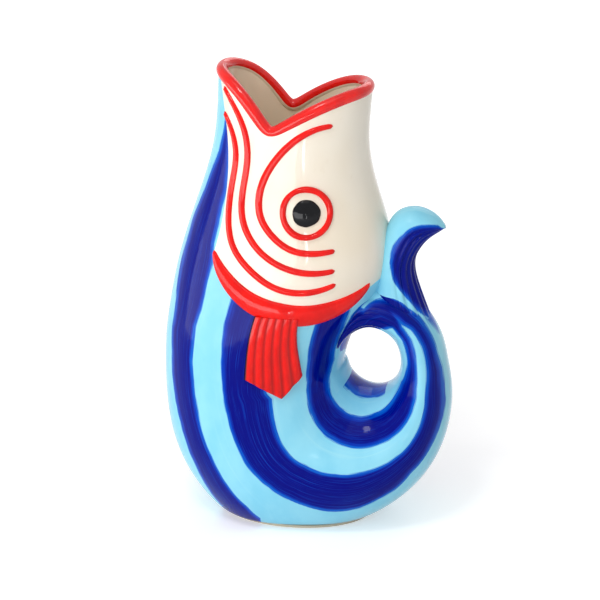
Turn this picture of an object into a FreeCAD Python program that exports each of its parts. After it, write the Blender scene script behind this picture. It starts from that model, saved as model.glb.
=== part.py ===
"""A gurgle jug: a hollow glazed ceramic fish that stands on its curled body.

Millimetres and degrees. +Z is up, -X is the chest side, +X is the tail side that serves as the
handle, and Y is the width, which the jug mirrors. The origin is on the ground, under the middle.

The upright part is a loft through level ovals. It runs on as a loft through turns, which are ovals
set like the rays of a fan round the finger loop, so the belly, the tail and the lower fluke are one
curl. Water air-locks in the hollow tail when the jug is poured, and that is what makes it gurgle.
"""
import FreeCAD
import Part

import math
import os

from FreeCAD import Vector

# ---- walls and foot ------------------------------------------------------------------------
WALL = 5.0                  # thickness of the cast wall
FLOOR = 5.0                 # thickness of the floor
FOOT_HEIGHT = 1.6           # the unglazed ring that the jug stands on
FOOT_WIDTH = 6.0
FOOT_INSET = 1.5            # how far the ring stands in from the edge of the flat bottom

# ---- upright part: height, chest x, back x, half of the width --------------------------------
# Heights above the loop, in every table here, are as drawn for a lip whose front is at the first
# height of LIP_LINE, and stretch with LIP_FRONT_Z.
LIP_FRONT_Z = 285.6
NECK_TOP = (-54.4, 40.4, 35.6)      # the wall that the mouth is cut from, without its height
NECK_ROOM = 14.4                    # how far that wall runs on above the lip
LEVELS = [
    (265.0, -55.3, 37.8, 35.2),
    (240.0, -58.2, 37.2, 37.0),
    (215.0, -65.2, 42.4, 41.0),
    (188.0, -74.4, 50.0, 45.5),
    (165.0, -81.2, 50.0, 48.5),
    (142.0, -86.0, 40.0, 51.5),
    (124.0, -88.8, 29.0, 53.5),
]

# ---- finger loop, and the turns round it -----------------------------------------------------
LOOP_X = 40.8
LOOP_Z = 106.0
LOOP_HALF_LENGTH = 17.8     # half of the opening along X
LOOP_HALF_HEIGHT = 21.4
# Angles go from the chest side by way of the ground. Each turn has the distance of its outside from
# the middle of the loop, and half of its width.
TURN_ANGLES = [0, 20, 40, 55, 68, 82, 100, 120, 140, 160, 180, 200, 220]
TURNS = [
    (130.9, 54.5),
    (137.0, 55.0),
    (143.0, 54.0),
    (140.5, 52.0),
    (127.0, 49.5),
    (113.0, 46.5),
    (95.5, 42.0),
    (78.0, 37.0),
    (63.0, 32.0),
    (52.5, 28.0),
    (46.5, 25.5),
    (45.3, 23.5),
    (45.8, 21.0),
]
# The lower fluke takes the curl on over the loop. It widens, and its tip wraps both flanks of the body.
# Its turns also have how far their inside stands back from the loop.
LOWER_FLUKE_ANGLES = [240, 258, 272, 285, 298, 312, 328, 344]
LOWER_FLUKE_TURNS = [
    (48.0, 22.0, 0.0),
    (48.8, 23.0, 0.0),
    (48.0, 24.0, 0.3),
    (43.0, 25.5, 0.6),
    (34.5, 26.0, 1.0),
    (29.0, 25.0, 1.4),
    (24.5, 21.5, 1.8),
    (22.5, 14.0, 2.2),
]
BELLY_START = 0.0           # angles at which the belly, the base, the root of the tail and the tail begin
BASE_START = 48.0
ROOT_START = 88.0
TAIL_START = 135.0
TAIL_OVERRUN = 5.0
HOLLOW_TURNS = 12           # the turns that the hollow reaches

# ---- upper fluke: ovals from its outer edge to its inner edge, and half of the width ----------
UPPER_FLUKE = [
    (84.0, 119.0, 51.0, 131.0, 19.5),
    (77.5, 132.0, 43.5, 139.5, 18.0),
    (71.8, 146.5, 40.5, 149.0, 17.0),
    (67.6, 158.5, 41.0, 160.5, 16.5),
    (66.0, 169.5, 43.5, 174.5, 16.5),
    (68.8, 178.0, 47.5, 189.0, 16.0),
    (72.9, 183.8, 54.5, 201.0, 14.5),
    (77.0, 187.5, 66.0, 204.5, 12.0),
    (81.0, 190.3, 76.5, 201.0, 8.0),
    (83.6, 192.2, 82.6, 195.6, 3.0),
]

# ---- grooves that run along both flukes, from root to tip --------------------------------------
GROOVE_DEPTH = 0.9
GROOVE_FADE = 2             # ovals over which the grooves deepen at the root, and run out at the tip

# ---- edges of the head: chest side, then under the gill band -----------------------------------
CHEST_EDGE = [(-50.0, 310.0), (-50.0, 283.0), (-47.0, 266.0), (-43.5, 243.0), (-43.2, 222.0), (-50.5, 181.0)]
GILL_EDGE = [(-50.5, 181.0), (-35.0, 161.5), (-12.0, 149.5), (13.5, 147.2), (33.0, 154.5), (59.0, 170.0), (119.0, 185.0)]

# ---- mouth: the line of the lip from its front by way of the notch to its back, as x and z -------
LIP_LINE = [
    (-56.0, 285.6), (-50.5, 285.2), (-46.0, 283.2), (-38.5, 278.4), (-30.5, 270.6), (-23.0, 261.2), (-16.5, 255.4),
    (-8.5, 258.6), (2.0, 265.0), (14.0, 271.0), (25.5, 275.2), (33.5, 276.8), (42.0, 277.2),
]
LIP_BACK_Z = 277.2          # what lies between the notch and the back stretches with it
LIP_HALF_HEIGHT = 3.8
LIP_HALF_THICKNESS = 3.5

# ---- reliefs on each side: centre line as x and z, half of the width, height --------------------
CHEEK_LINES = {
    "upper": [
        (20.0, 260.0, 1.5), (7.0, 257.0, 1.9), (-5.0, 248.7, 2.1), (-15.0, 236.5, 2.2), (-21.6, 221.0, 2.3),
        (-20.8, 206.0, 2.2), (-13.5, 195.5, 2.1), (-1.0, 187.2, 2.0), (11.5, 185.3, 1.9), (23.3, 186.4, 1.5),
    ],
    "middle": [
        (-47.4, 278.5, 1.5), (-40.2, 269.4, 1.8), (-33.0, 256.5, 2.1), (-30.2, 241.0, 2.2), (-32.3, 222.0, 2.2),
        (-32.2, 204.0, 2.2), (-25.0, 190.0, 2.1), (-12.0, 179.6, 2.0), (3.0, 174.2, 2.0), (23.5, 174.3, 1.5),
    ],
    "lower": [
        (-47.2, 263.5, 1.5), (-41.6, 254.7, 1.8), (-38.0, 241.0, 2.1), (-39.4, 226.0, 2.2), (-41.4, 205.0, 2.2),
        (-38.0, 187.0, 2.1), (-26.0, 173.4, 2.1), (-11.0, 164.3, 2.0), (7.0, 161.5, 2.0), (24.0, 165.8, 1.5),
    ],
}
CHEEK_LINE_HEIGHT = 1.5
GILL_BAND = [
    (-50.6, 182.0, 1.0), (-46.8, 173.5, 3.4), (-38.8, 163.9, 5.0), (-25.6, 154.6, 6.1), (-10.0, 149.1, 6.7),
    (7.0, 147.0, 6.6), (21.0, 149.0, 6.0), (32.0, 153.4, 4.6), (42.0, 162.2, 1.0),
]
GILL_BAND_HEIGHT = 2.6
EYE_X = 6.4
EYE_Z = 209.2
EYE_RADIUS = 16.2           # outside of the raised ring
EYE_RING_WIDTH = 3.8
EYE_RING_HEIGHT = 2.0
EYE_SINK = 2.0              # how far the ring is let into the head before it is trimmed
PUPIL_RADIUS = 8.3
PUPIL_HEIGHT = 2.4

# ---- pectoral fins: outline as x and z ----------------------------------------------------------
FIN_FRONT_EDGE = [(-22.0, 147.0), (-26.0, 130.0), (-28.2, 107.0)]
FIN_TIP = [(-28.2, 107.0), (-7.3, 93.2), (3.9, 107.6)]
FIN_BACK_EDGE = [(3.9, 107.6), (2.1, 125.0), (3.4, 146.0)]
FIN_HEIGHT = 3.6
FIN_GROOVES = 5
FIN_GROOVE_RADIUS = 1.3
FIN_GROOVE_OVERRUN = 18.0   # past the root and the tip

RING_POLES = 12
SMALL_RING_POLES = 8
ACROSS = 200.0              # longer than the jug is wide


# ---- general shapes --------------------------------------------------------------------------
def ring(middle, arm, side, count=RING_POLES):
    """Poles of a closed oval about the middle that reaches arm one way and side the other way."""
    stretch = 3.0 / (2.0 + math.cos(2.0 * math.pi / count))
    angles = [2.0 * math.pi * k / count for k in range(count)]
    return [middle + (arm * math.cos(angle) + side * math.sin(angle)) * stretch for angle in angles]


def grooved_ring(poles, middle, depth, reach):
    """The same oval with twice the poles, and grooves on both flanks.

    The grooves go from the end that the oval's side points at, as far as that share of the side.
    """
    finer = []
    for k, pole in enumerate(poles):
        after = poles[(k + 1) % len(poles)]
        finer.append((poles[k - 1] + pole * 6.0 + after) / 8.0)
        groove = (pole + after) / 2.0
        if math.sin(2.0 * math.pi * (k + 0.5) / len(poles)) > reach:
            groove += (middle - groove).normalize() * 3.0 * depth
        finer.append(groove)
    return finer


def ring_face(poles):
    curve = Part.BSplineCurve()
    curve.buildFromPolesMultsKnots(poles, [1] * (len(poles) + 1), list(range(len(poles) + 1)), True, 3)
    return Part.Face(Part.Wire([curve.toShape()]))


def skin(rings):
    """Closed solid through a row of rings, flat at both ends."""
    places = [0.0]
    for one, other in zip(rings, rings[1:]):
        places.append(places[-1] + sum((p - q).Length for p, q in zip(one, other)) / len(one))
    rows = []
    for k in range(len(rings[0])):
        row = Part.BSplineCurve()
        row.interpolate(Points=[poles[k] for poles in rings], Parameters=places)
        rows.append(row)
    grid = [row.getPoles() for row in rows]
    around = list(range(len(rows) + 1))
    along = rows[0]
    surface = Part.BSplineSurface()
    surface.buildFromPolesMultsKnots(
        grid, [1] * len(around), along.getMultiplicities(), around, along.getKnots(), True, False, 3, along.Degree)
    shell = Part.Shell([surface.toShape(), ring_face(rings[0]), ring_face(rings[-1])])
    shell.sewShape()
    return outward(Part.Solid(shell))


def outward(solid):
    if solid.Volume < 0:
        solid.reverse()
    return solid


def oval(outer, inner, half_width):
    """Section across the mirror plane, from a point on the outside to one on the inside."""
    return ring((outer + inner) * 0.5, Vector(0, half_width, 0), (outer - inner) * 0.5)


def grooved_oval(outer, inner, half_width, depth, reach):
    return grooved_ring(oval(outer, inner, half_width), (outer + inner) * 0.5, depth, reach)


def groove_depth(k, count):
    """Depth at one of a fluke's ovals: none at its ends and at the oval before its tip."""
    return GROOVE_DEPTH * max(0.0, min(1.0, k / GROOVE_FADE, (count - 2 - k) / GROOVE_FADE))


def lifted(z):
    """Height of a point of the tables, which stretches with the lip."""
    if z < LOOP_Z:
        return z
    return LOOP_Z + (z - LOOP_Z) * (LIP_FRONT_Z - LOOP_Z) / (LIP_LINE[0][1] - LOOP_Z)


def prism(wire_edges):
    """Solid across the whole jug whose outline in X and Z is the closed row of edges."""
    face = Part.Face(Part.Wire(Part.__sortEdges__(wire_edges)))
    return outward(face.extrude(Vector(0, ACROSS, 0)))


def on_plane(x, z):
    return Vector(x, -ACROSS / 2, lifted(z))


def spline(points):
    curve = Part.BSplineCurve()
    curve.interpolate(Points=[on_plane(x, z) for x, z in points])
    return curve.toShape()


def line(start, end):
    return Part.makeLine(on_plane(*start), on_plane(*end))


def mirrored(shape):
    return shape.mirror(Vector(0, 0, 0), Vector(0, 1, 0))


# ---- the curl ----------------------------------------------------------------------------------
def levels():
    """The rows of the upright part, with the wall that the mouth is cut from."""
    top = max(LIP_LINE[0][1], LIP_BACK_Z) + NECK_ROOM
    return [(top,) + NECK_TOP] + LEVELS


def level_oval(level, grow):
    z, chest, back, half_width = level
    return oval(Vector(chest - grow, 0, lifted(z)), Vector(back + grow, 0, lifted(z)), half_width + grow)


def turn_way(angle):
    return Vector(-math.cos(math.radians(angle)), 0, -math.sin(math.radians(angle)))


def loop_radius(angle):
    way = turn_way(angle)
    return 1.0 / math.hypot(way.x / LOOP_HALF_LENGTH, way.z / LOOP_HALF_HEIGHT)


def across_turn(angle, reach, grow):
    """Outer and inner point of the curl at an angle."""
    middle = Vector(LOOP_X, 0, LOOP_Z)
    return middle + turn_way(angle) * (reach + grow), middle + turn_way(angle) * (loop_radius(angle) - grow)


def curl(grow, count):
    """The solid inside of the outside moved out by grow, as far as that many turns."""
    rings = [level_oval(level, grow) for level in levels()]
    for angle, (reach, half_width) in list(zip(TURN_ANGLES, TURNS))[:count]:
        outer, inner = across_turn(angle, reach, grow)
        rings.append(oval(outer, inner, half_width + grow))
    return skin(rings)


def sector(start, end):
    """Wedge of the fan round the loop, between two turns."""
    middle = Vector(LOOP_X, -ACROSS / 2, LOOP_Z)
    steps = 8
    rim = [middle + turn_way(start + (end - start) * k / steps) * 3 * ACROSS for k in range(steps + 1)]
    return outward(Part.Face(Part.makePolygon([middle] + rim + [middle])).extrude(Vector(0, ACROSS, 0)))


def slab(low, high):
    """Everything between two heights."""
    return Part.makeBox(4 * ACROSS, 2 * ACROSS, high - low, Vector(-2 * ACROSS, -ACROSS, low))


def head_region():
    top = CHEST_EDGE[0]
    end = GILL_EDGE[-1]
    corner = (end[0], top[1])
    return prism([spline(CHEST_EDGE), spline(GILL_EDGE), line(end, corner), line(corner, top)])


def lip_line():
    """The line of the lip, with its back half stretched to LIP_BACK_Z."""
    notch = min(z for x, z in LIP_LINE)
    stretch = (LIP_BACK_Z - notch) / (LIP_LINE[-1][1] - notch)
    turned = [z for x, z in LIP_LINE].index(notch)
    back_half = [(x, notch + (z - notch) * stretch) for x, z in LIP_LINE[turned:]]
    return LIP_LINE[:turned] + back_half


def mouth_region():
    """Everything above the line of the lip."""
    along = lip_line()
    front = (NECK_TOP[0] - 2 * WALL, along[0][1])
    back = (NECK_TOP[1] + 2 * WALL, along[-1][1])
    high = levels()[0][0] + WALL
    edges = [spline([front] + along[1:-1] + [back])]
    edges += [line(back, (back[0], high)), line((back[0], high), (front[0], high)), line((front[0], high), front)]
    return prism(edges)


# ---- flukes ------------------------------------------------------------------------------------
def make_lower_fluke():
    rings = []
    rows = [TURNS[-1] + (0.0,)] + LOWER_FLUKE_TURNS
    for k, (reach, half_width, back) in enumerate(rows):
        angle = (TURN_ANGLES[-1:] + LOWER_FLUKE_ANGLES)[k]
        outer, inner = across_turn(angle, reach, 0.0)
        inner += turn_way(angle) * back
        rings.append(grooved_oval(outer, inner, half_width, groove_depth(k, len(rows)), -1.0))
    return skin(rings)


def make_upper_fluke():
    rings = []
    for k, (outer_x, outer_z, inner_x, inner_z, half_width) in enumerate(UPPER_FLUKE):
        outer = Vector(outer_x, 0, lifted(outer_z))
        inner = Vector(inner_x, 0, lifted(inner_z))
        rings.append(grooved_oval(outer, inner, half_width, groove_depth(k, len(UPPER_FLUKE)), 0.0))
    return skin(rings)


# ---- lip -------------------------------------------------------------------------------------
def wall_middle(z):
    """Middle x, half length and half width of the middle of the wall at a height."""
    above, below = levels()[:2]
    share = (z - below[0]) / (above[0] - below[0])
    chest, back, half_width = [below[k] + (above[k] - below[k]) * share for k in (1, 2, 3)]
    return (chest + back) / 2, (back - chest) / 2 - WALL / 2, half_width - WALL / 2


def lip_point(x, z):
    middle, half_length, half_width = wall_middle(z)
    share = max(-1.0, min(1.0, (x - middle) / half_length))
    return Vector(middle + half_length * share, -half_width * math.sqrt(1.0 - share * share), lifted(z))


def make_lip():
    """Rolled rim, made as one half and mirrored."""
    along = lip_line()
    points = [lip_point(x, z) for x, z in along]
    rings = []
    for k, point in enumerate(points):
        before = points[k - 1] if k > 0 else mirror_point(points[1])
        after = points[k + 1] if k + 1 < len(points) else mirror_point(points[-2])
        way = (after - before).normalize()
        middle, half_length, half_width = wall_middle(along[k][1])
        out = Vector((point.x - middle) / half_length ** 2, point.y / half_width ** 2, 0)
        up = way.cross(out).normalize()
        out = up.cross(way).normalize()
        rings.append(ring(point, up * LIP_HALF_HEIGHT, out * LIP_HALF_THICKNESS))
    half = skin(rings)
    return half.fuse(mirrored(half)).removeSplitter()


def mirror_point(point):
    return Vector(point.x, -point.y, point.z)


# ---- reliefs -----------------------------------------------------------------------------------
class Outside:
    """The glazed outside that the reliefs lie on, seen from the -Y side."""

    def __init__(self, solid):
        self.solid = solid
        self.face = max(solid.Faces, key=lambda face: face.Area)

    def at(self, x, z):
        """Point on the outside at x and z of the tables, and the way out of the wall there."""
        ray = Part.makeLine(Vector(x, -ACROSS, lifted(z)), Vector(x, 0, lifted(z)))
        hits = self.face.section(ray).Vertexes
        point = min((vertex.Point for vertex in hits), key=lambda hit: hit.y)
        u, v = self.face.Surface.parameter(point)
        out = self.face.normalAt(u, v)
        return point, out if out.y < 0 else -out


def ridge(outside, centre_line, height):
    """Raised line of half-round section, laid on the outside."""
    places = [outside.at(x, z) for x, z, half_width in centre_line]
    rings = []
    for k, (point, out) in enumerate(places):
        way = places[min(k + 1, len(places) - 1)][0] - places[max(k - 1, 0)][0]
        across = way.cross(out).normalize()
        out = across.cross(way).normalize()
        half_width = centre_line[k][2]
        rise = height * min(1.0, half_width / max(w for x, z, w in centre_line) + 0.35)
        rings.append(ring(point, across * half_width, out * rise, SMALL_RING_POLES))
    return skin(rings).cut(outside.solid)


def make_eye(outside):
    """Raised ring and domed pupil, turned about the way out of the wall."""
    point, out = outside.at(EYE_X, EYE_Z)
    side = out.cross(Vector(0, 0, 1)).normalize()
    half = EYE_RING_WIDTH / 2
    bead = ring(point + side * (EYE_RADIUS - half) - out * EYE_SINK, side * half, out * (EYE_RING_HEIGHT + EYE_SINK))
    raised = outward(ring_face(bead).revolve(point, out, 360))
    top = point + out * PUPIL_HEIGHT
    shoulder = point + side * PUPIL_RADIUS * 0.75 + out * PUPIL_HEIGHT * 0.65
    edge = point + side * PUPIL_RADIUS
    low = -out * EYE_RING_WIDTH
    profile = [
        Part.Arc(top, shoulder, edge).toShape(),
        Part.makeLine(edge, edge + low),
        Part.makeLine(edge + low, point + low),
        Part.makeLine(point + low, top),
    ]
    pupil = outward(Part.Face(Part.Wire(profile)).revolve(point, out, 360))
    return raised.cut(outside.solid), pupil.cut(outside.solid)


def make_fin(outside, thick, band):
    """Plate that follows the belly, with grooves from its root to its tip."""
    root = line(FIN_BACK_EDGE[-1], FIN_FRONT_EDGE[0])
    tip = [line(FIN_TIP[0], FIN_TIP[1]), line(FIN_TIP[1], FIN_TIP[2])]
    outline = prism([spline(FIN_FRONT_EDGE)] + tip + [spline(FIN_BACK_EDGE), root])
    near = Part.makeBox(2 * ACROSS, ACROSS, 2 * ACROSS, Vector(-ACROSS, -ACROSS, 0))
    fin = outline.common(near).common(thick).cut(outside.solid)
    for k in range(FIN_GROOVES):
        share = (k + 1.0) / (FIN_GROOVES + 1.0)
        line_of_groove = []
        for front, back in zip(FIN_FRONT_EDGE, reversed(FIN_BACK_EDGE)):
            line_of_groove.append([front[n] + (back[n] - front[n]) * share for n in range(2)])
        line_of_groove[0][1] += FIN_GROOVE_OVERRUN
        line_of_groove[-1][1] -= FIN_GROOVE_OVERRUN
        rings = []
        for x, z in line_of_groove:
            point, out = outside.at(x, z)
            side = Vector(FIN_GROOVE_RADIUS, 0, 0)
            rings.append(ring(point + out * FIN_HEIGHT, side, out * FIN_GROOVE_RADIUS, SMALL_RING_POLES))
        fin = fin.cut(skin(rings))
    return fin.cut(band)


# ---- the jug -------------------------------------------------------------------------------------
def make_foot(standing):
    """Oval ring under the flat bottom."""
    bottom = min(standing.Faces, key=lambda face: face.CenterOfMass.z)
    box = bottom.optimalBoundingBox(False)
    middle = Vector((box.XMin + box.XMax) / 2, 0, 0)
    half_length = box.XLength / 2 - FOOT_INSET
    half_width = box.YLength / 2 - FOOT_INSET
    outlines = []
    for inset in (0.0, FOOT_WIDTH):
        outlines.append(ring_face(ring(middle, Vector(half_length - inset, 0, 0), Vector(0, half_width - inset, 0))))
    band = outlines[0].cut(outlines[1]).Faces[0]
    return outward(band.extrude(Vector(0, 0, FOOT_HEIGHT)))


def build():
    whole = curl(0.0, len(TURNS))
    hollow = curl(-WALL, HOLLOW_TURNS).common(slab(FOOT_HEIGHT + FLOOR, 2 * ACROSS))
    standing = whole.common(slab(FOOT_HEIGHT, 2 * ACROSS))
    lip = make_lip()
    shell = standing.cut(hollow).cut(mouth_region()).cut(lip)

    head_space = head_region()
    trunk = shell.cut(head_space)
    parts = {
        "mouth_lip": lip,
        "head_shell": shell.common(head_space),
        "chest_shell": trunk.cut(sector(BELLY_START, TURN_ANGLES[-1] + TAIL_OVERRUN)),
        "belly_shell": trunk.common(sector(BELLY_START, BASE_START)),
        "base_shell": trunk.common(sector(BASE_START, ROOT_START)),
        "tail_root_shell": trunk.common(sector(ROOT_START, TAIL_START)),
        "tail_tube": trunk.common(sector(TAIL_START, TURN_ANGLES[-1] + TAIL_OVERRUN)),
        "foot_ring": make_foot(standing),
    }
    lower = make_lower_fluke()
    parts["lower_fluke"] = lower.cut(whole)
    parts["upper_fluke"] = make_upper_fluke().cut(whole).cut(lower)

    outside = Outside(whole)
    band = ridge(outside, GILL_BAND, GILL_BAND_HEIGHT)
    thick = curl(FIN_HEIGHT, HOLLOW_TURNS)
    one_side = {"gill_band": band, "pectoral_fin": make_fin(outside, thick, band)}
    one_side["eye_ring"], one_side["eye_pupil"] = make_eye(outside)
    for name, centre_line in CHEEK_LINES.items():
        cheek_line = ridge(outside, centre_line, CHEEK_LINE_HEIGHT)
        one_side["cheek_line_" + name] = cheek_line.cut(one_side["eye_ring"]).cut(lip)
    for name, shape in one_side.items():
        parts[name + "_left"] = shape
        parts[name + "_right"] = mirrored(shape)
    return parts


os.makedirs("parts", exist_ok=True)
for name, shape in build().items():
    shape.exportStep("parts/" + name + ".step")
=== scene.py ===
"""The look of a gurgle jug: glazed fish with painted stripes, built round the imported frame.

Sizes are millimetres in the row frame, as in the part's source, and become metres when a mesh is
made. Body, head and flukes are smooth skins through ovals, sampled finely, with the skins' own
normals. The raised pieces lie on them. Floor, light and camera, at the end, are in metres.
"""
import math

import bpy
import numpy as np
from mathutils import Matrix, Vector


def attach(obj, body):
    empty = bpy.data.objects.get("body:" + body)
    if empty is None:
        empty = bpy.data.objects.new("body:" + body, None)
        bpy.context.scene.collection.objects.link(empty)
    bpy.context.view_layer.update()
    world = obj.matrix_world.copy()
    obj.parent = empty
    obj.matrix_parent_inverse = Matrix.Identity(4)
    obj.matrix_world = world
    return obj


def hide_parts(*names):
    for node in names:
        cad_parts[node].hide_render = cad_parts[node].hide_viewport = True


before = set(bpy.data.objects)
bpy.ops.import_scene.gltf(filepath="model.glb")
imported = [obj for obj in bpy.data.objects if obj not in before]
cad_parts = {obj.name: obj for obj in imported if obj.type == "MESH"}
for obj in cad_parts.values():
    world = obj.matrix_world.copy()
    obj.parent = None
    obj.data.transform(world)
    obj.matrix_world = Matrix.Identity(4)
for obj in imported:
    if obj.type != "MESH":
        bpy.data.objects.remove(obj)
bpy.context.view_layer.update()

MM = 0.001
TAU = 2.0 * math.pi
MIRROR = np.array([1.0, -1.0, 1.0])

# ---- the curl, as the part's source has it ----
WALL = 5.0
FOOT_TOP = 1.6
FLOOR_TOP = 6.6
LEVELS = [
    (300, -54.4, 40.4, 35.6), (265, -55.3, 37.8, 35.2), (240, -58.2, 37.2, 37), (215, -65.2, 42.4, 41),
    (188, -74.4, 50, 45.5), (165, -81.2, 50, 48.5), (142, -86, 40, 51.5), (124, -88.8, 29, 53.5),
]
LOOP = np.array([40.8, 0.0, 106.0])
LOOP_HALF_LENGTH = 17.8
LOOP_HALF_HEIGHT = 21.4
TURNS = [
    (0, 130.9, 54.5), (20, 137, 55), (40, 143, 54), (55, 140.5, 52), (68, 127, 49.5), (82, 113, 46.5),
    (100, 95.5, 42), (120, 78, 37), (140, 63, 32), (160, 52.5, 28), (180, 46.5, 25.5), (200, 45.3, 23.5),
    (220, 45.8, 21),
]
LOWER_FLUKE = [
    (240, 48, 22, 0), (258, 48.8, 23, 0), (272, 48, 24, 0.3), (285, 43, 25.5, 0.6), (298, 34.5, 26, 1),
    (312, 29, 25, 1.4), (328, 24.5, 21.5, 1.8), (344, 22.5, 14, 2.2),
]
HOLLOW_TURNS = 12
UPPER_FLUKE = [
    (84, 119, 51, 131, 19.5), (77.5, 132, 43.5, 139.5, 18), (71.8, 146.5, 40.5, 149, 17),
    (67.6, 158.5, 41, 160.5, 16.5), (66, 169.5, 43.5, 174.5, 16.5), (68.8, 178, 47.5, 189, 16),
    (72.9, 183.8, 54.5, 201, 14.5), (77, 187.5, 66, 204.5, 12), (81, 190.3, 76.5, 201, 8),
    (83.6, 192.2, 82.6, 195.6, 3),
]
CHEST_EDGE = [
    (-50, 310), (-50, 283), (-47, 266), (-43.5, 243), (-43.2, 222), (-50.5, 181),
]
GILL_EDGE = [
    (-50.5, 181), (-35, 161.5), (-12, 149.5), (13.5, 147.2), (33, 154.5), (59, 170), (119, 185),
]
LIP_LINE = [
    (-56, 285.6), (-50.5, 285.2), (-46, 283.2), (-38.5, 278.4), (-30.5, 270.6), (-23, 261.2),
    (-16.5, 255.4), (-8.5, 258.6), (2, 265), (14, 271), (25.5, 275.2), (33.5, 276.8), (42, 277.2),
]
LIP_HALF_HEIGHT = 3.8
LIP_HALF_THICKNESS = 3.5

# ---- reliefs: centre line as x, z and half of the width ----
CHEEK_LINES = {
    "upper": [
        (20, 260, 1.5), (7, 257, 1.9), (-5, 248.7, 2.1), (-15, 236.5, 2.2), (-21.6, 221, 2.3),
        (-20.8, 206, 2.2), (-13.5, 195.5, 2.1), (-1, 187.2, 2), (11.5, 185.3, 1.9), (23.3, 186.4, 1.5),
    ],
    "middle": [
        (-47.4, 278.5, 1.5), (-40.2, 269.4, 1.8), (-33, 256.5, 2.1), (-30.2, 241, 2.2), (-32.3, 222, 2.2),
        (-32.2, 204, 2.2), (-25, 190, 2.1), (-12, 179.6, 2), (3, 174.2, 2), (23.5, 174.3, 1.5),
    ],
    "lower": [
        (-47.2, 263.5, 1.5), (-41.6, 254.7, 1.8), (-38, 241, 2.1), (-39.4, 226, 2.2), (-41.4, 205, 2.2),
        (-38, 187, 2.1), (-26, 173.4, 2.1), (-11, 164.3, 2), (7, 161.5, 2), (24, 165.8, 1.5),
    ],
}
CHEEK_LINE_HEIGHT = 1.5
GILL_BAND = [
    (-50.6, 182, 1), (-46.8, 173.5, 3.4), (-38.8, 163.9, 5), (-25.6, 154.6, 6.1), (-10, 149.1, 6.7),
    (7, 147, 6.6), (21, 149, 6), (32, 153.4, 4.6), (42, 162.2, 1),
]
GILL_BAND_HEIGHT = 2.6
RELIEF_SINK = 0.8  # how deep a relief's lower side goes into the wall
RELIEF_DIP = 0.05  # how much lower the whole relief lies
EYE = (6.4, 209.2)
EYE_RADIUS = 16.2
EYE_RING_WIDTH = 3.8
EYE_RING_HEIGHT = 2.0
PUPIL_RADIUS = 8.3
PUPIL_HEIGHT = 2.4
FIN_FRONT_EDGE = [(-22, 147), (-26, 130), (-28.2, 107)]
FIN_BACK_EDGE = [(3.4, 146), (2.1, 125), (3.9, 107.6)]
FIN_FRONT_END = (-28.6, 100.0)  # where the edges run on to
FIN_BACK_END = (4.6, 100.0)
FIN_POINT_SHARE = 0.65
FIN_POINT_DROP = 14.0
FIN_WIDTH = 31.0
FIN_LENGTH = 45.0
FIN_HEIGHT = 3.4
FIN_SHOULDER = 1.6  # width of the rounded rim
FIN_FRONT_OUT = 1.0  # how far the front edge stands out
FIN_GROOVES = 6
FIN_GROOVE_DEPTH = 1.1
FIN_OUTLINE_AND_SHADOW = 0.7  # width of the dark line along the front edge, a painted outline that is partly painted contact shadow
FIN_OUTLINE_AND_SHADOW_BLUR = 0.5
LOWER_GROOVE_DEPTH = 1.0  # on the flukes
UPPER_GROOVE_DEPTH = 1.1

# ---- rows and columns of the sampled pieces ----
BODY_GRID = (330, 232)
LINING_GRID = (190, 150)
LOWER_FLUKE_GRID = (130, 192)
UPPER_FLUKE_GRID = (150, 200)
FIN_GRID = (90, 90)
EYE_RING_GRID = (144, 24)
PUPIL_GRID = (18, 72)
LIP_HALF_GRID = (230, 36)

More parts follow.
